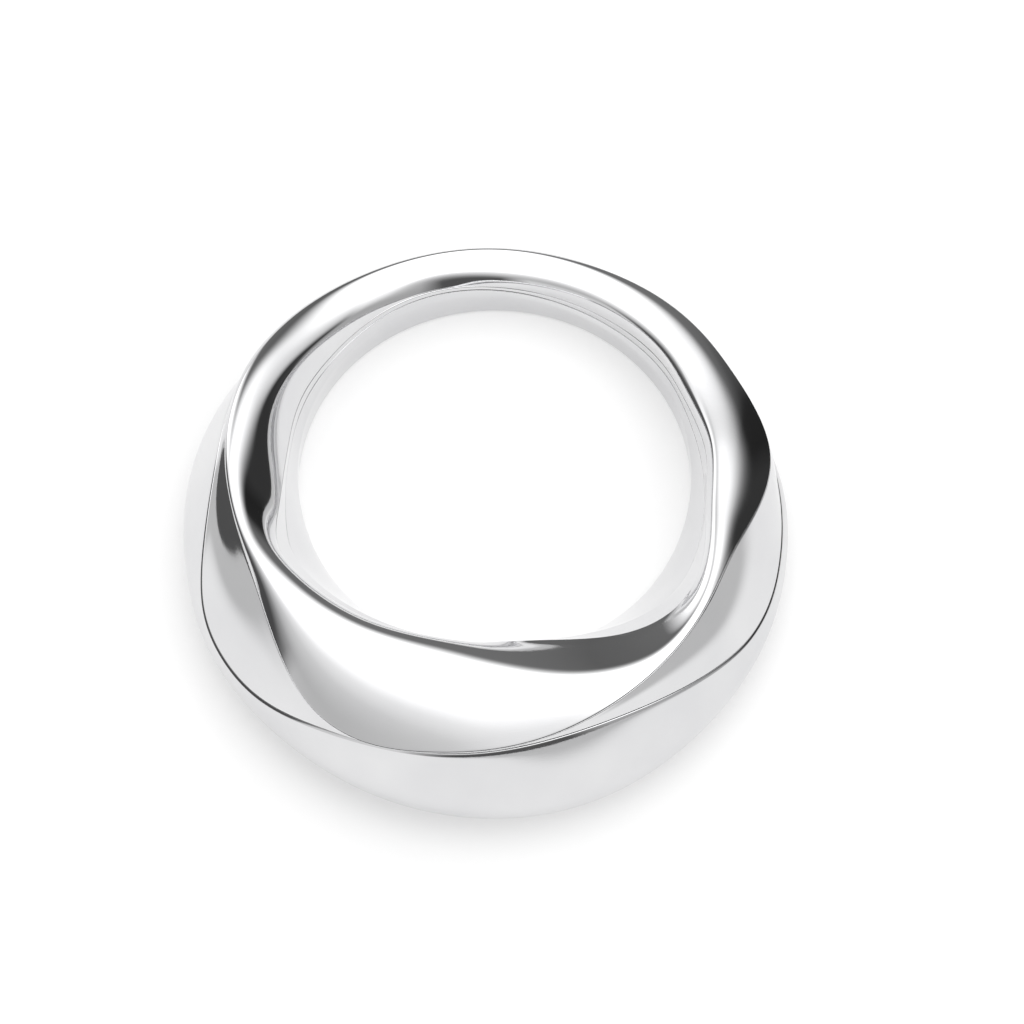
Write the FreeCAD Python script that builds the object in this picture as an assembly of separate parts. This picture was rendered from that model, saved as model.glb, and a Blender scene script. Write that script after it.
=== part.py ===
"""Nest of three polished metal puzzle rings, in millimetres, +Z up.

The origin is on the axis of the round bore, at the plane that the nest rests on.
Each ring is a closed loft: one cross-section is described at every station angle round the
bore, and a periodic cubic surface runs through them. Neighbouring rings share the same seam
surface, apart from a small constant gap, so that each ring lifts straight off the one below.
"""

import math
import os

import FreeCAD
import Part

# Driving dimensions
BORE_RADIUS = 19.75
BORE_LAND = 2.0
SEAM_GAP = 0.15
EDGE_ROUND = 0.18
NET_STATIONS = 36
FOOT_SHARE = 0.72
FOOT_INSET = 0.8
SHOULDER_OUT = 0.3
SHOULDER_DROP = 0.3
LENS_CROWN = 0.045
FLANK_CROWN = 0.015
TRIM = 100.0

# Section points of the nest at each station angle, as (radius, height).
# inner_seam_1 / outer_seam_1: where the upper ring meets the middle ring, inside and outside.
# inner_seam_2 / outer_seam_2: where the middle ring meets the lower ring.
# flank, inner_shoulder, outer_shoulder, brow: control points of the upper ring's free surface.
# bulge: control point of the lower ring's widest part.
POINT_NAMES = (
    "inner_seam_1", "flank", "inner_shoulder", "outer_shoulder", "brow",
    "outer_seam_1", "outer_seam_2", "inner_seam_2", "bulge",
)
SECTIONS = {
    0: ((21.1, 8.3), (21.25, 9.6), (21.4, 10.4), (22.0, 10.8), (24.4, 10.6),
        (27.7, 8.8), (28.0, 4.8), (20.7, 5.7), (28.6, 3.4)),
    15: ((20.0, 7.3), (20.0, 8.3), (20.1, 8.9), (20.65, 9.5), (23.5, 9.6),
         (25.8, 8.4), (26.0, 4.6), (20.05, 5.0), (26.1, 3.0)),
    30: ((20.0, 6.2), (20.0, 7.4), (20.1, 8.2), (20.65, 8.7), (23.6, 8.6),
         (25.0, 7.6), (24.7, 4.4), (20.1, 4.4), (24.8, 2.6)),
    45: ((19.95, 5.2), (19.95, 6.6), (20.05, 7.4), (20.6, 7.8), (23.4, 7.8),
         (24.5, 7.0), (24.0, 4.0), (19.95, 3.9), (24.1, 2.4)),
    60: ((19.95, 4.5), (19.95, 5.7), (20.05, 6.5), (20.6, 7.0), (23.1, 7.2),
         (23.9, 6.6), (23.4, 3.6), (19.9, 3.5), (23.5, 2.2)),
    90: ((19.95, 5.0), (19.95, 5.4), (20.05, 5.8), (20.7, 6.65), (23.2, 7.15),
         (23.6, 6.6), (23.1, 3.8), (19.9, 4.4), (23.2, 1.8)),
    120: ((20.0, 6.1), (20.1, 6.7), (20.9, 7.35), (22.0, 7.95), (23.5, 8.15),
          (23.9, 7.5), (23.8, 5.2), (19.95, 5.2), (24.0, 2.8)),
    150: ((20.1, 6.3), (20.7, 9.7), (21.7, 10.2), (23.1, 10.7), (24.95, 10.45),
          (25.4, 9.7), (25.3, 7.0), (20.0, 5.2), (26.6, 3.4)),
    165: ((20.35, 7.6), (21.9, 11.3), (23.1, 11.85), (24.6, 12.3), (25.7, 12.1),
          (26.2, 11.4), (26.4, 9.5), (20.15, 6.2), (28.8, 3.5)),
    180: ((20.5, 8.8), (22.4, 11.9), (23.9, 12.95), (25.5, 13.45), (26.7, 13.1),
          (26.7, 12.3), (27.1, 11.5), (20.4, 7.3), (31.1, 3.6)),
    190: ((21.2, 10.0), (22.4, 11.8), (24.2, 13.1), (26.2, 14.1), (27.2, 13.8),
          (27.0, 12.9), (28.2, 11.9), (21.1, 8.2), (32.4, 3.6)),
    200: ((22.6, 11.0), (23.1, 11.6), (24.5, 12.9), (26.3, 14.2), (27.6, 14.3),
          (27.5, 13.4), (30.4, 10.6), (22.0, 8.9), (33.4, 3.6)),
    210: ((25.2, 12.7), (25.4, 13.5), (26.0, 14.5), (27.4, 15.1), (28.3, 14.8),
          (28.3, 14.1), (33.7, 7.2), (23.5, 9.5), (34.5, 3.6)),
    220: ((25.1, 12.7), (25.2, 13.9), (26.0, 15.2), (28.0, 15.6), (29.2, 15.2),
          (29.9, 14.4), (35.0, 6.8), (23.5, 10.0), (35.5, 3.6)),
    230: ((24.9, 12.5), (24.9, 14.1), (26.0, 15.7), (28.8, 15.9), (31.4, 15.0),
          (32.8, 14.0), (35.9, 8.0), (23.3, 10.4), (36.4, 3.6)),
    240: ((24.8, 12.5), (24.6, 14.1), (25.7, 15.8), (28.6, 16.0), (33.0, 14.5),
          (35.9, 12.6), (36.2, 11.0), (23.0, 10.6), (37.6, 3.6)),
    260: ((23.9, 13.0), (23.8, 14.1), (24.9, 15.4), (28.2, 16.0), (33.0, 14.2),
          (35.7, 12.5), (35.6, 12.0), (22.6, 10.8), (39.3, 3.6)),
    272: ((23.3, 13.0), (23.9, 13.6), (25.4, 14.8), (28.0, 15.9), (32.2, 14.3),
          (34.9, 12.8), (34.8, 12.3), (22.4, 10.7), (39.6, 3.6)),
    285: ((23.6, 12.4), (24.2, 12.8), (25.2, 13.4), (29.2, 15.6), (31.6, 14.7),
          (33.5, 13.5), (33.8, 12.6), (22.5, 10.2), (39.1, 3.6)),
    300: ((25.7, 12.2), (26.2, 12.5), (27.0, 13.0), (29.4, 14.4), (30.6, 14.8),
          (31.5, 14.4), (33.1, 11.2), (23.3, 9.4), (37.1, 3.6)),
    310: ((26.6, 12.3), (27.0, 12.6), (27.4, 12.9), (28.4, 13.6), (29.1, 14.0),
          (29.8, 13.8), (32.8, 9.2), (23.8, 8.8), (35.6, 3.5)),
    320: ((25.9, 11.9), (26.1, 12.3), (26.4, 12.7), (27.0, 13.3), (27.6, 13.6),
          (28.2, 13.2), (32.6, 7.2), (23.9, 8.3), (34.1, 3.4)),
    330: ((24.1, 10.9), (24.3, 11.7), (24.5, 12.4), (25.0, 12.8), (25.9, 12.9),
          (26.9, 12.4), (31.7, 6.0), (23.1, 7.8), (32.6, 3.4)),
    340: ((22.2, 9.6), (22.4, 10.9), (22.7, 11.7), (23.3, 12.0), (24.9, 12.05),
          (27.0, 10.8), (30.3, 5.3), (22.0, 7.0), (31.2, 3.4)),
}


def periodic_slopes(angles, values):
    """Slopes of the smooth closed curve through the values, by repeated relaxation."""
    count = len(angles)
    widths = [(angles[(i + 1) % count] - angles[i]) % 360.0 for i in range(count)]
    rises = [values[(i + 1) % count] - values[i] for i in range(count)]
    slopes = [0.0] * count
    for _ in range(60):
        for i in range(count):
            before, after = widths[i - 1], widths[i]
            pull = 3.0 * (rises[i - 1] / before**2 + rises[i] / after**2)
            pull -= slopes[i - 1] / before + slopes[(i + 1) % count] / after
            slopes[i] = pull / (2.0 / before + 2.0 / after)
    return widths, slopes


def closed_curve(angles, values, angle):
    """Value of the smooth closed curve at one angle."""
    widths, slopes = periodic_slopes(angles, values)
    count = len(angles)
    i = max(k for k in range(count) if angles[k] <= angle)
    t = (angle - angles[i]) / widths[i]
    start, end = values[i], values[(i + 1) % count]
    m0, m1 = slopes[i] * widths[i], slopes[(i + 1) % count] * widths[i]
    return (
        (2 * t**3 - 3 * t**2 + 1) * start
        + (t**3 - 2 * t**2 + t) * m0
        + (3 * t**2 - 2 * t**3) * end
        + (t**3 - t**2) * m1
    )


def section_at(angle):
    """The nest's named section points at any angle."""
    angles = sorted(SECTIONS)
    points = {}
    for k, name in enumerate(POINT_NAMES):
        radius = closed_curve(angles, [SECTIONS[a][k][0] for a in angles], angle)
        height = closed_curve(angles, [SECTIONS[a][k][1] for a in angles], angle)
        points[name] = (radius, height)
    return points


def mix(a, b, share):
    return (a[0] + (b[0] - a[0]) * share, a[1] + (b[1] - a[1]) * share)


def towards(a, b, distance):
    """The point at a distance from a, on the way to b."""
    return mix(a, b, distance / math.hypot(b[0] - a[0], b[1] - a[1]))


def crowned(a, b, share):
    """The point halfway from a to b, pushed out sideways by a share of the distance."""
    middle = mix(a, b, 0.5)
    return (middle[0] - (b[1] - a[1]) * share, middle[1] + (b[0] - a[0]) * share)


def raised(points, lift):
    return [(radius, height + lift) for radius, height in points]


def seam(outer, inner):
    """Control points of a seam surface, from its outer edge to its inner edge."""
    return [
        outer,
        towards(outer, inner, EDGE_ROUND),
        mix(outer, inner, 0.35),
        mix(outer, inner, 0.65),
        towards(inner, outer, EDGE_ROUND),
        inner,
    ]


def upper_section(p):
    under = raised(seam(p["outer_seam_1"], p["inner_seam_1"]), SEAM_GAP)
    return under + [
        towards(under[-1], p["flank"], EDGE_ROUND),
        p["flank"],
        p["inner_shoulder"],
        p["outer_shoulder"],
        p["brow"],
        towards(under[0], p["brow"], EDGE_ROUND),
    ]


def middle_section(p):
    over = seam(p["outer_seam_1"], p["inner_seam_1"])
    under = raised(seam(p["outer_seam_2"], p["inner_seam_2"]), SEAM_GAP)
    return under + [
        towards(under[-1], over[-1], EDGE_ROUND),
        towards(over[-1], under[-1], EDGE_ROUND),
    ] + over[::-1] + [
        towards(over[0], under[0], EDGE_ROUND),
        crowned(over[0], under[0], LENS_CROWN),
        towards(under[0], over[0], EDGE_ROUND),
    ]


def lower_section(p):
    over = seam(p["outer_seam_2"], p["inner_seam_2"])
    bulge = p["bulge"]
    shoulder = (over[0][0] + SHOULDER_OUT, over[0][1] - SHOULDER_DROP)
    foot_radius = BORE_RADIUS + FOOT_INSET + FOOT_SHARE * (bulge[0] - BORE_RADIUS - FOOT_INSET)
    return over[::-1] + [
        towards(over[0], shoulder, EDGE_ROUND),
        shoulder,
        crowned(shoulder, bulge, FLANK_CROWN),
        bulge,
        (foot_radius, -0.35),
        (BORE_RADIUS + FOOT_INSET, -0.35),
        (BORE_RADIUS - 0.25, 0.3),
        (BORE_RADIUS - 0.25, BORE_LAND + 0.2),
        towards(over[-1], (BORE_RADIUS, BORE_LAND), EDGE_ROUND),
    ]


def ring(section):
    """Solid ring whose surface is periodic both round the bore and round its section."""
    step = 2 * math.pi / NET_STATIONS
    grow = 6.0 / (4.0 + 2.0 * math.cos(step))
    net = []
    for k in range(NET_STATIONS):
        angle = k * step
        points = section(section_at(math.degrees(angle)))
        net.append([
            FreeCAD.Vector(grow * r * math.cos(angle), grow * r * math.sin(angle), z)
            for r, z in points
        ])
    rows, columns = len(net), len(net[0])
    surface = Part.BSplineSurface()
    surface.buildFromPolesMultsKnots(
        net, [1] * (rows + 1), [1] * (columns + 1),
        list(range(rows + 1)), list(range(columns + 1)), True, True, 3, 3,
    )
    solid = Part.Solid(Part.Shell([surface.toShape()]))
    if solid.Volume < 0:
        solid.reverse()
    return solid


def lower_ring():
    """The ring that the nest rests on: flat foot and true round bore."""
    below = Part.makeBox(TRIM, TRIM, TRIM, FreeCAD.Vector(-TRIM / 2, -TRIM / 2, -TRIM))
    bore = Part.makeCylinder(BORE_RADIUS, TRIM, FreeCAD.Vector(0, 0, -TRIM / 2))
    return ring(lower_section).cut(below).cut(bore)


def main():
    os.makedirs("parts", exist_ok=True)
    nodes = {
        "upper_ring": ring(upper_section),
        "middle_ring": ring(middle_section),
        "lower_ring": lower_ring(),
    }
    for name, shape in nodes.items():
        shape.exportStep(f"parts/{name}.step")
        box = shape.BoundBox
        print(name, shape.ShapeType, shape.isValid(), round(shape.Volume, 1),
              [round(v, 2) for v in (box.XMin, box.XMax, box.YMin, box.YMax, box.ZMin, box.ZMax)])


main()
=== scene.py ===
"""Three nested, mirror-polished puzzle rings on a pale studio table, in metres, +Z up.

Each ring is a fine mesh of the closed surface that its CAD node has: one control section is
given at every station angle round the bore, and periodic cubic splines run through them.
"""

import math

import bpy
import numpy as np
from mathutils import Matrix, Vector


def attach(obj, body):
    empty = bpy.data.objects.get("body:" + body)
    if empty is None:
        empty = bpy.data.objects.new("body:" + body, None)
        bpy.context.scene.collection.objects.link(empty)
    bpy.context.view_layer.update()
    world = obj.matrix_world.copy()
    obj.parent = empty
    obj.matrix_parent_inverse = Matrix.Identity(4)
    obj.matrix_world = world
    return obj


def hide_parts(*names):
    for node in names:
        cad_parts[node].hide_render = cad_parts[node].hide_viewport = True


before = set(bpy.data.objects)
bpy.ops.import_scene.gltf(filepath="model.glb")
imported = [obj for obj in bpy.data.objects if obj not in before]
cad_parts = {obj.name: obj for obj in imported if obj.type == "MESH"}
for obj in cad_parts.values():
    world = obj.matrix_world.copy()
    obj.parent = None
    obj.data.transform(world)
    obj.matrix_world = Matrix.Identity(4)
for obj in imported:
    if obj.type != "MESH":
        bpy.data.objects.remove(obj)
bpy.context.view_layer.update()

MM = 0.001

# The nest, in millimetres
BORE_RADIUS = 19.75
BORE_LAND = 2.0
SEAM_GAP = 0.15
EDGE_ROUND = 0.18
FOOT_SHARE = 0.72
FOOT_INSET = 0.8
FOOT_DIP = 0.35
BORE_LIP = 0.3
BORE_TRIM = 0.25
SHOULDER_OUT = 0.3
SHOULDER_DROP = 0.3
LENS_CROWN = 0.045
FLANK_CROWN = 0.015

# Control stations of each ring's surface, and how finely its mesh samples that surface
NET_STATIONS = 36
ROUND_SAMPLES = 540
SECTION_SAMPLES = 150
TURN_WEIGHT = 1.2

# The room: an overhead softbox as (alignment with its direction, brightness) stops, and walls
# as (compass angle in degrees, brightness) stops, blended between the two SKYLINE heights
SOFTBOX = (0.35, 0.30, 0.89)
SOFTBOX_GLOW = ((0.35, 0.26), (0.56, 0.38), (0.66, 0.52), (0.75, 0.82), (0.86, 1.0))
WALLS = (
    (-180, 0.04), (-170, 0.05), (-160, 0.36), (-108, 0.40), (-94, 0.05), (-62, 0.05),
    (-46, 0.22), (-20, 0.24), (-2, 0.22), (7, 0.03), (24, 0.02), (38, 0.02), (46, 0.01),
    (56, 0.012), (64, 0.08), (78, 0.10), (90, 0.065), (110, 0.085), (117, 0.45), (123, 0.8),
    (136, 0.8), (145, 0.05), (180, 0.04),
)
SKYLINE = (0.42, 0.86)
LIGHT_STRENGTH = 2.2

# The table: half its width, its diffuse shade, and the glow of the light pad in it, which is
# even out to PAD_FADE[0] metres, gone at PAD_FADE[1], and PAD_STRETCH times as long as wide
TABLE_REACH = 3.0
TABLE_SHADE = 0.6
PAD_FADE = (0.064, 0.12)
PAD_STRETCH = 2.2
PAD_GLOW = 0.42

# The camera: its height angle in degrees, lens and sensor in millimetres, and what it frames
CAMERA_ELEVATION = 64.0
CAMERA_LENS = 300.0
CAMERA_SENSOR = 36.0
CAMERA_TARGET = (0.00175, -0.00533, 0.005)
FRAME_WIDTH = 0.1024

# The metal: its two tints, the roughness of its polish between and on the hairlines, and the
# hairlines' depth in metres, with the noise that places the haze and the hairlines
METAL_TINTS = ((0.68, 0.68, 0.69), (0.73, 0.73, 0.735))
POLISH = (0.035, 0.085)
HAIRLINE_DEPTH = 0.00002
HAIRLINE_STRENGTH = 0.05
HAZE_SCALE = 90.0
HAIRLINE_SCALE = 900.0
HAIRLINE_STRETCH = (1.0, 14.0, 14.0)
HAIRLINE_TURN = (0.2, 0.1, 0.5)

# Section points of the nest at each station angle in degrees, as (radius, height).
# inner_seam_1 / outer_seam_1: where the upper ring meets the middle ring, inside and outside.
# inner_seam_2 / outer_seam_2: where the middle ring meets the lower ring.
# flank, inner_shoulder, outer_shoulder, brow: control points of the upper ring's free surface.
# bulge: control point of the lower ring's widest part.
POINT_NAMES = (
    "inner_seam_1", "flank", "inner_shoulder", "outer_shoulder", "brow",
    "outer_seam_1", "outer_seam_2", "inner_seam_2", "bulge",
)
SECTIONS = {
    0: ((21.1, 8.3), (21.25, 9.6), (21.4, 10.4), (22.0, 10.8), (24.4, 10.6),
        (27.7, 8.8), (28.0, 4.8), (20.7, 5.7), (28.6, 3.4)),
    15: ((20.0, 7.3), (20.0, 8.3), (20.1, 8.9), (20.65, 9.5), (23.5, 9.6),
         (25.8, 8.4), (26.0, 4.6), (20.05, 5.0), (26.1, 3.0)),
    30: ((20.0, 6.2), (20.0, 7.4), (20.1, 8.2), (20.65, 8.7), (23.6, 8.6),
         (25.0, 7.6), (24.7, 4.4), (20.1, 4.4), (24.8, 2.6)),
    45: ((19.95, 5.2), (19.95, 6.6), (20.05, 7.4), (20.6, 7.8), (23.4, 7.8),
         (24.5, 7.0), (24.0, 4.0), (19.95, 3.9), (24.1, 2.4)),
    60: ((19.95, 4.5), (19.95, 5.7), (20.05, 6.5), (20.6, 7.0), (23.1, 7.2),
         (23.9, 6.6), (23.4, 3.6), (19.9, 3.5), (23.5, 2.2)),
    90: ((19.95, 5.0), (19.95, 5.4), (20.05, 5.8), (20.7, 6.65), (23.2, 7.15),
         (23.6, 6.6), (23.1, 3.8), (19.9, 4.4), (23.2, 1.8)),
    120: ((20.0, 6.1), (20.1, 6.7), (20.9, 7.35), (22.0, 7.95), (23.5, 8.15),
          (23.9, 7.5), (23.8, 5.2), (19.95, 5.2), (24.0, 2.8)),
    150: ((20.1, 6.3), (20.7, 9.7), (21.7, 10.2), (23.1, 10.7), (24.95, 10.45),
          (25.4, 9.7), (25.3, 7.0), (20.0, 5.2), (26.6, 3.4)),
    165: ((20.35, 7.6), (21.9, 11.3), (23.1, 11.85), (24.6, 12.3), (25.7, 12.1),
          (26.2, 11.4), (26.4, 9.5), (20.15, 6.2), (28.8, 3.5)),
    180: ((20.5, 8.8), (22.4, 11.9), (23.9, 12.95), (25.5, 13.45), (26.7, 13.1),
          (26.7, 12.3), (27.1, 11.5), (20.4, 7.3), (31.1, 3.6)),
    190: ((21.2, 10.0), (22.4, 11.8), (24.2, 13.1), (26.2, 14.1), (27.2, 13.8),
          (27.0, 12.9), (28.2, 11.9), (21.1, 8.2), (32.4, 3.6)),
    200: ((22.6, 11.0), (23.1, 11.6), (24.5, 12.9), (26.3, 14.2), (27.6, 14.3),
          (27.5, 13.4), (30.4, 10.6), (22.0, 8.9), (33.4, 3.6)),
    210: ((25.2, 12.7), (25.4, 13.5), (26.0, 14.5), (27.4, 15.1), (28.3, 14.8),
          (28.3, 14.1), (33.7, 7.2), (23.5, 9.5), (34.5, 3.6)),
    220: ((25.1, 12.7), (25.2, 13.9), (26.0, 15.2), (28.0, 15.6), (29.2, 15.2),
          (29.9, 14.4), (35.0, 6.8), (23.5, 10.0), (35.5, 3.6)),
    230: ((24.9, 12.5), (24.9, 14.1), (26.0, 15.7), (28.8, 15.9), (31.4, 15.0),
          (32.8, 14.0), (35.9, 8.0), (23.3, 10.4), (36.4, 3.6)),
    240: ((24.8, 12.5), (24.6, 14.1), (25.7, 15.8), (28.6, 16.0), (33.0, 14.5),
          (35.9, 12.6), (36.2, 11.0), (23.0, 10.6), (37.6, 3.6)),
    260: ((23.9, 13.0), (23.8, 14.1), (24.9, 15.4), (28.2, 16.0), (33.0, 14.2),
          (35.7, 12.5), (35.6, 12.0), (22.6, 10.8), (39.3, 3.6)),
    272: ((23.3, 13.0), (23.9, 13.6), (25.4, 14.8), (28.0, 15.9), (32.2, 14.3),
          (34.9, 12.8), (34.8, 12.3), (22.4, 10.7), (39.6, 3.6)),
    285: ((23.6, 12.4), (24.2, 12.8), (25.2, 13.4), (29.2, 15.6), (31.6, 14.7),
          (33.5, 13.5), (33.8, 12.6), (22.5, 10.2), (39.1, 3.6)),
    300: ((25.7, 12.2), (26.2, 12.5), (27.0, 13.0), (29.4, 14.4), (30.6, 14.8),
          (31.5, 14.4), (33.1, 11.2), (23.3, 9.4), (37.1, 3.6)),
    310: ((26.6, 12.3), (27.0, 12.6), (27.4, 12.9), (28.4, 13.6), (29.1, 14.0),
          (29.8, 13.8), (32.8, 9.2), (23.8, 8.8), (35.6, 3.5)),
    320: ((25.9, 11.9), (26.1, 12.3), (26.4, 12.7), (27.0, 13.3), (27.6, 13.6),
          (28.2, 13.2), (32.6, 7.2), (23.9, 8.3), (34.1, 3.4)),
    330: ((24.1, 10.9), (24.3, 11.7), (24.5, 12.4), (25.0, 12.8), (25.9, 12.9),
          (26.9, 12.4), (31.7, 6.0), (23.1, 7.8), (32.6, 3.4)),
    340: ((22.2, 9.6), (22.4, 10.9), (22.7, 11.7), (23.3, 12.0), (24.9, 12.05),
          (27.0, 10.8), (30.3, 5.3), (22.0, 7.0), (31.2, 3.4)),
}


def closed_curve(angles, values, wanted):
    """The closed cubic spline through the values at the angles, read at the wanted angles."""
    angles = np.array(angles, float)
    values = np.array(values, float)
    widths = (np.roll(angles, -1) - angles) % 360.0
    rises = np.roll(values, -1) - values
    count = len(angles)
    system = np.zeros((count, count))
    pull = np.zeros(count)
    for i in range(count):
        before, after = widths[i - 1], widths[i]
        system[i, i] = 2.0 / before + 2.0 / after
        system[i, i - 1] += 1.0 / before
        system[i, (i + 1) % count] += 1.0 / after
        pull[i] = 3.0 * (rises[i - 1] / before**2 + rises[i] / after**2)
    slopes = np.linalg.solve(system, pull)
    spans = np.searchsorted(angles, wanted, side="right") - 1
    t = (wanted - angles[spans]) / widths[spans]
    m0 = slopes[spans] * widths[spans]
    m1 = np.roll(slopes, -1)[spans] * widths[spans]
    return (
        (2 * t**3 - 3 * t**2 + 1) * values[spans]
        + (t**3 - 2 * t**2 + t) * m0
        + (3 * t**2 - 2 * t**3) * np.roll(values, -1)[spans]
        + (t**3 - t**2) * m1
    )


def section_points(angles_wanted):
    """Each named section point at every wanted angle, as rows of (radius, height)."""
    angles = sorted(SECTIONS)
    points = {}
    for k, name in enumerate(POINT_NAMES):
        radius = closed_curve(angles, [SECTIONS[a][k][0] for a in angles], angles_wanted)
        height = closed_curve(angles, [SECTIONS[a][k][1] for a in angles], angles_wanted)
        points[name] = np.stack([radius, height], axis=1)
    return points


def mix(a, b, share):
    """The points at a share of the way from a to b."""
    return a + (b - a) * share


def towards(a, b, distance):
    """The points at a distance from a, on the way to b."""
    way = b - a
    return a + way * (distance / np.linalg.norm(way, axis=1, keepdims=True))


def crowned(a, b, share):
    """The points halfway from a to b, pushed out sideways by a share of the distance."""
    way = b - a
    return mix(a, b, 0.5) + np.column_stack([-way[:, 1], way[:, 0]]) * share


def level(points, radius, height):
    """The same (radius, height) at every station of the given points."""
    return np.tile(np.array([[radius, height]], float), (len(points), 1))


def raised(controls, lift):
    """The same controls, moved up by the lift."""
    return [c + np.array([0.0, lift]) for c in controls]


def seam(outer, inner):
    """Controls of a seam surface, from its outer edge to its inner edge."""
    return [
        outer,
        towards(outer, inner, EDGE_ROUND),
        mix(outer, inner, 0.35),
        mix(outer, inner, 0.65),
        towards(inner, outer, EDGE_ROUND),
        inner,
    ]


def upper_section(p):
    """Controls round the upper ring: its underside from outside to inside, then over the top."""
    under = raised(seam(p["outer_seam_1"], p["inner_seam_1"]), SEAM_GAP)
    return under + [
        towards(under[-1], p["flank"], EDGE_ROUND),
        p["flank"],
        p["inner_shoulder"],
        p["outer_shoulder"],
        p["brow"],
        towards(under[0], p["brow"], EDGE_ROUND),
    ]


def middle_section(p):
    """Controls round the middle ring: underside, inner wall, top, then crowned outer face."""
    over = seam(p["outer_seam_1"], p["inner_seam_1"])
    under = raised(seam(p["outer_seam_2"], p["inner_seam_2"]), SEAM_GAP)
    return under + [
        towards(under[-1], over[-1], EDGE_ROUND),
        towards(over[-1], under[-1], EDGE_ROUND),
    ] + over[::-1] + [
        towards(over[0], under[0], EDGE_ROUND),
        crowned(over[0], under[0], LENS_CROWN),
        towards(under[0], over[0], EDGE_ROUND),
    ]


def lower_section(p):
    """Controls round the lower ring: its top from inside to outside, flank, foot, then bore."""
    over = seam(p["outer_seam_2"], p["inner_seam_2"])
    bulge = p["bulge"]
    shoulder = over[0] + np.array([SHOULDER_OUT, -SHOULDER_DROP])
    foot_inner = level(bulge, BORE_RADIUS + FOOT_INSET, -FOOT_DIP)
    foot_outer = level(bulge, 0.0, -FOOT_DIP)
    foot_outer[:, 0] = mix(BORE_RADIUS + FOOT_INSET, bulge[:, 0], FOOT_SHARE)
    return over[::-1] + [
        towards(over[0], shoulder, EDGE_ROUND),
        shoulder,
        crowned(shoulder, bulge, FLANK_CROWN),
        bulge,
        foot_outer,
        foot_inner,
        level(bulge, BORE_RADIUS - BORE_TRIM, BORE_LIP),
        level(bulge, BORE_RADIUS - BORE_TRIM, BORE_LAND + 0.2),
        towards(over[-1], level(bulge, BORE_RADIUS, BORE_LAND), EDGE_ROUND),
    ]


def spline_weights(samples, controls):
    """Weights of a uniform closed cubic spline: one row per sample, one column per control."""
    weights = np.zeros((len(samples), controls))
    whole = np.floor(samples).astype(int)
    t = samples - whole
    blends = (
        (1 - t) ** 3 / 6,
        (3 * t**3 - 6 * t**2 + 4) / 6,
        (-3 * t**3 + 3 * t**2 + 3 * t + 1) / 6,
        t**3 / 6,
    )
    rows = np.arange(len(samples))
    for k, blend in enumerate(blends):
        np.add.at(weights, (rows, (whole + k - 1) % controls), blend)
    return weights


def even_samples(controls, net_profile, count):
    """Section parameters spaced evenly along the section's length, with more at tight turns."""
    fine = np.linspace(0, controls, 4000, endpoint=False)
    line = spline_weights(fine, controls) @ net_profile
    ways = np.roll(line, -1, axis=0) - line
    steps = np.linalg.norm(ways, axis=1)
    heading = np.unwrap(np.arctan2(ways[:, 1], ways[:, 0]))
    full_turn = 2 * np.pi * np.sign(heading[-1] - heading[0])
    turn = np.abs(np.diff(heading, append=heading[0] + full_turn))
    cost = steps / steps.sum() + TURN_WEIGHT * turn / turn.sum()
    run = np.concatenate([[0.0], np.cumsum(cost)])
    marks = np.linspace(0, run[-1], count, endpoint=False)
    return np.interp(marks, run, np.append(fine, controls))


def ring_mesh(name, section, bored):
    """Closed fine mesh of one ring; a bored one is cut to the round bore and the flat foot."""
    step = 2 * math.pi / NET_STATIONS
    angles = np.arange(NET_STATIONS) * step
    controls = section(section_points(np.degrees(angles)))
    grow = 6.0 / (4.0 + 2.0 * math.cos(step))
    profile = np.stack(controls, axis=1)
    net = np.stack([
        grow * profile[:, :, 0] * np.cos(angles)[:, None],
        grow * profile[:, :, 0] * np.sin(angles)[:, None],
        profile[:, :, 1],
    ], axis=2)
    rows_at = np.linspace(0, NET_STATIONS, ROUND_SAMPLES, endpoint=False)
    columns_at = even_samples(len(controls), profile.mean(axis=0), SECTION_SAMPLES)
    around = spline_weights(rows_at, NET_STATIONS)
    across = spline_weights(columns_at, len(controls))
    points = np.einsum("ij,jkc,lk->ilc", around, net, across)
    if bored:
        radius = np.hypot(points[:, :, 0], points[:, :, 1])
        push = np.maximum(BORE_RADIUS / radius, 1.0)
        points[:, :, :2] *= push[:, :, None]
        points[:, :, 2] = np.maximum(points[:, :, 2], 0.0)
    points *= MM
    rows, cols = points.shape[:2]
    i, j = np.meshgrid(np.arange(rows), np.arange(cols), indexing="ij")
    i2, j2 = (i + 1) % rows, (j + 1) % cols
    faces = np.stack([i * cols + j, i2 * cols + j, i2 * cols + j2, i * cols + j2], axis=2)
    mesh = bpy.data.meshes.new(name)
    mesh.from_pydata(points.reshape(-1, 3).tolist(), [], faces.reshape(-1, 4).tolist())
    mesh.validate()
    volume = signed_volume(points.reshape(-1, 3), faces.reshape(-1, 4))
    if volume < 0:
        mesh.flip_normals()
    mesh.shade_smooth()
    return mesh


def signed_volume(points, faces):
    """Volume that the faces enclose, positive if they face outwards."""
    a, b, c, d = (points[faces[:, k]] for k in range(4))
    return float((np.cross(a, b) * c).sum() + (np.cross(a, c) * d).sum()) / 6


def colour_ramp(tree, value, stops):
    """Output of a colour ramp with the given (position, colour) stops."""
    node = tree.nodes.new("ShaderNodeValToRGB")
    elements = node.color_ramp.elements
    elements[0].position = stops[0][0]
    elements[1].position = stops[-1][0]
    elements[0].color = (*stops[0][1], 1)
    elements[1].color = (*stops[-1][1], 1)
    for position, colour in stops[1:-1]:
        element = elements.new(position)
        element.color = (*colour, 1)
    tree.links.new(value, node.inputs["Fac"])
    return node.outputs["Color"]


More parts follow.
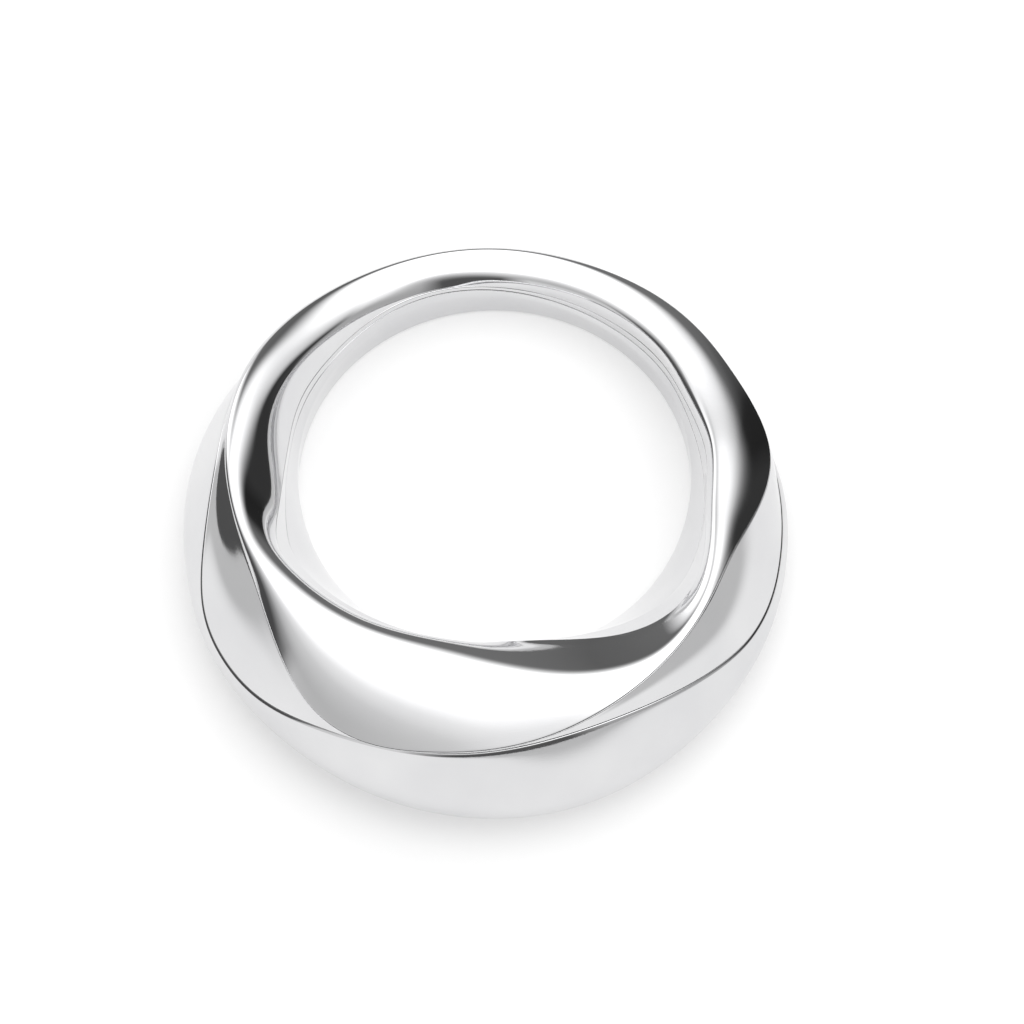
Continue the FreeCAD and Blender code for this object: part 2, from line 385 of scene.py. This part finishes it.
def polished_metal(name, seed):
    """Mirror-polished silver-coloured metal with faint hairlines and handling haze."""
    material = bpy.data.materials.new(name)
    material.use_nodes = True
    nodes, links = material.node_tree.nodes, material.node_tree.links
    shader = nodes["Principled BSDF"]
    shader.inputs["Metallic"].default_value = 1.0
    coords = nodes.new("ShaderNodeTexCoord")

    def noise(scale, detail, stretch=(1, 1, 1), turn=(0, 0, 0)):
        mapping = nodes.new("ShaderNodeMapping")
        mapping.inputs["Location"].default_value = (seed * 0.13, seed * 0.07, seed * 0.11)
        mapping.inputs["Rotation"].default_value = turn
        mapping.inputs["Scale"].default_value = stretch
        links.new(coords.outputs["Object"], mapping.inputs["Vector"])
        texture = nodes.new("ShaderNodeTexNoise")
        texture.inputs["Scale"].default_value = scale
        texture.inputs["Detail"].default_value = detail
        links.new(mapping.outputs["Vector"], texture.inputs["Vector"])
        return texture.outputs["Fac"]

    haze = noise(HAZE_SCALE, 4.0)
    tint = colour_ramp(material.node_tree, haze, ((0.35, METAL_TINTS[0]), (0.7, METAL_TINTS[1])))
    links.new(tint, shader.inputs["Base Color"])
    hairlines = noise(HAIRLINE_SCALE, 6.0, HAIRLINE_STRETCH, HAIRLINE_TURN)
    rough = nodes.new("ShaderNodeMapRange")
    rough.inputs["From Min"].default_value = 0.3
    rough.inputs["From Max"].default_value = 0.75
    rough.inputs["To Min"].default_value = POLISH[0]
    rough.inputs["To Max"].default_value = POLISH[1]
    links.new(hairlines, rough.inputs["Value"])
    links.new(rough.outputs["Result"], shader.inputs["Roughness"])
    bump = nodes.new("ShaderNodeBump")
    bump.inputs["Strength"].default_value = HAIRLINE_STRENGTH
    bump.inputs["Distance"].default_value = HAIRLINE_DEPTH
    links.new(hairlines, bump.inputs["Height"])
    links.new(bump.outputs["Normal"], shader.inputs["Normal"])
    return material


# Name, CAD node, body, section, whether it has the bore and foot, and its grain seed
RINGS = (
    ("upper_ring_polished", "upper_ring", "upper", upper_section, False, 1),
    ("middle_ring_polished", "middle_ring", "middle", middle_section, False, 2),
    ("lower_ring_polished", "lower_ring", "lower", lower_section, True, 3),
)


def add_rings():
    """The three rings, each in place of its CAD node and riding on its body."""
    for name, node, body, section, bored, seed in RINGS:
        piece = bpy.data.objects.new(name, ring_mesh(name, section, bored))
        bpy.context.scene.collection.objects.link(piece)
        piece.data.materials.append(polished_metal(f"{name}_metal", seed))
        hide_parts(node)
        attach(piece, body)


def add_table():
    """Pale table top, lit from below round the nest and fading outwards."""
    reach = TABLE_REACH
    mesh = bpy.data.meshes.new("table")
    corners = [(-reach, -reach, 0), (reach, -reach, 0), (reach, reach, 0), (-reach, reach, 0)]
    mesh.from_pydata(corners, [], [(0, 1, 2, 3)])
    table = bpy.data.objects.new("table", mesh)
    bpy.context.scene.collection.objects.link(table)
    material = bpy.data.materials.new("table_white")
    material.use_nodes = True
    nodes, links = material.node_tree.nodes, material.node_tree.links
    shader = nodes["Principled BSDF"]
    shader.inputs["Base Color"].default_value = (TABLE_SHADE, TABLE_SHADE, TABLE_SHADE, 1)
    shader.inputs["Roughness"].default_value = 0.9
    shader.inputs["Specular IOR Level"].default_value = 0.0
    shader.inputs["Emission Color"].default_value = (1, 1, 1, 1)
    coords = nodes.new("ShaderNodeTexCoord")
    spread = nodes.new("ShaderNodeMapping")
    spread.inputs["Scale"].default_value = (1 / PAD_FADE[1], 1 / PAD_FADE[1] / PAD_STRETCH, 1)
    links.new(coords.outputs["Object"], spread.inputs["Vector"])
    disc = nodes.new("ShaderNodeTexGradient")
    disc.gradient_type = "SPHERICAL"
    links.new(spread.outputs["Vector"], disc.inputs["Vector"])
    glow = nodes.new("ShaderNodeMapRange")
    glow.interpolation_type = "SMOOTHSTEP"
    glow.inputs["From Max"].default_value = 1 - PAD_FADE[0] / PAD_FADE[1]
    glow.inputs["To Max"].default_value = PAD_GLOW
    links.new(disc.outputs["Fac"], glow.inputs["Value"])
    links.new(glow.outputs["Result"], shader.inputs["Emission Strength"])
    mesh.materials.append(material)


def add_light():
    """A broad soft light overhead, in a room with dark and light stretches of wall."""
    world = bpy.data.worlds.new("studio")
    bpy.context.scene.world = world
    world.use_nodes = True
    nodes, links = world.node_tree.nodes, world.node_tree.links
    background = nodes["Background"]
    coords = nodes.new("ShaderNodeTexCoord").outputs["Generated"]
    split = nodes.new("ShaderNodeSeparateXYZ")
    links.new(coords, split.inputs["Vector"])
    compass = nodes.new("ShaderNodeTexGradient")
    compass.gradient_type = "RADIAL"
    links.new(coords, compass.inputs["Vector"])
    overhead = nodes.new("ShaderNodeVectorMath")
    overhead.operation = "DOT_PRODUCT"
    overhead.inputs[1].default_value = Vector(SOFTBOX).normalized()
    links.new(coords, overhead.inputs[0])

    wall_stops = [(0.5 + turn / 360, (shade,) * 3) for turn, shade in WALLS]
    walls = colour_ramp(world.node_tree, compass.outputs["Fac"], wall_stops)
    sky_stops = [(alignment, (shade,) * 3) for alignment, shade in SOFTBOX_GLOW]
    sky = colour_ramp(world.node_tree, overhead.outputs["Value"], sky_stops)
    skyline = nodes.new("ShaderNodeMapRange")
    skyline.interpolation_type = "SMOOTHSTEP"
    skyline.inputs["From Min"].default_value = SKYLINE[0]
    skyline.inputs["From Max"].default_value = SKYLINE[1]
    links.new(split.outputs["Z"], skyline.inputs["Value"])
    room = nodes.new("ShaderNodeMix")
    room.data_type = "RGBA"
    links.new(skyline.outputs["Result"], room.inputs["Factor"])
    links.new(walls, room.inputs["A"])
    links.new(sky, room.inputs["B"])
    links.new(room.outputs["Result"], background.inputs["Color"])
    background.inputs["Strength"].default_value = LIGHT_STRENGTH
    bpy.context.scene.view_settings.view_transform = "Standard"


def add_camera():
    """Long-lens camera that looks down on the nest from its front."""
    elevation = math.radians(CAMERA_ELEVATION)
    distance = FRAME_WIDTH * CAMERA_LENS / CAMERA_SENSOR
    away = Vector((0, -math.cos(elevation), math.sin(elevation)))
    data = bpy.data.cameras.new("camera")
    data.lens = CAMERA_LENS
    data.sensor_width = CAMERA_SENSOR
    data.clip_start = 0.01
    data.clip_end = 20.0
    camera = bpy.data.objects.new("camera", data)
    camera.location = Vector(CAMERA_TARGET) + away * distance
    camera.rotation_euler = (math.pi / 2 - elevation, 0, 0)
    bpy.context.scene.collection.objects.link(camera)
    bpy.context.scene.camera = camera


add_camera()
add_rings()
add_table()
add_light()
bpy.context.view_layer.update()
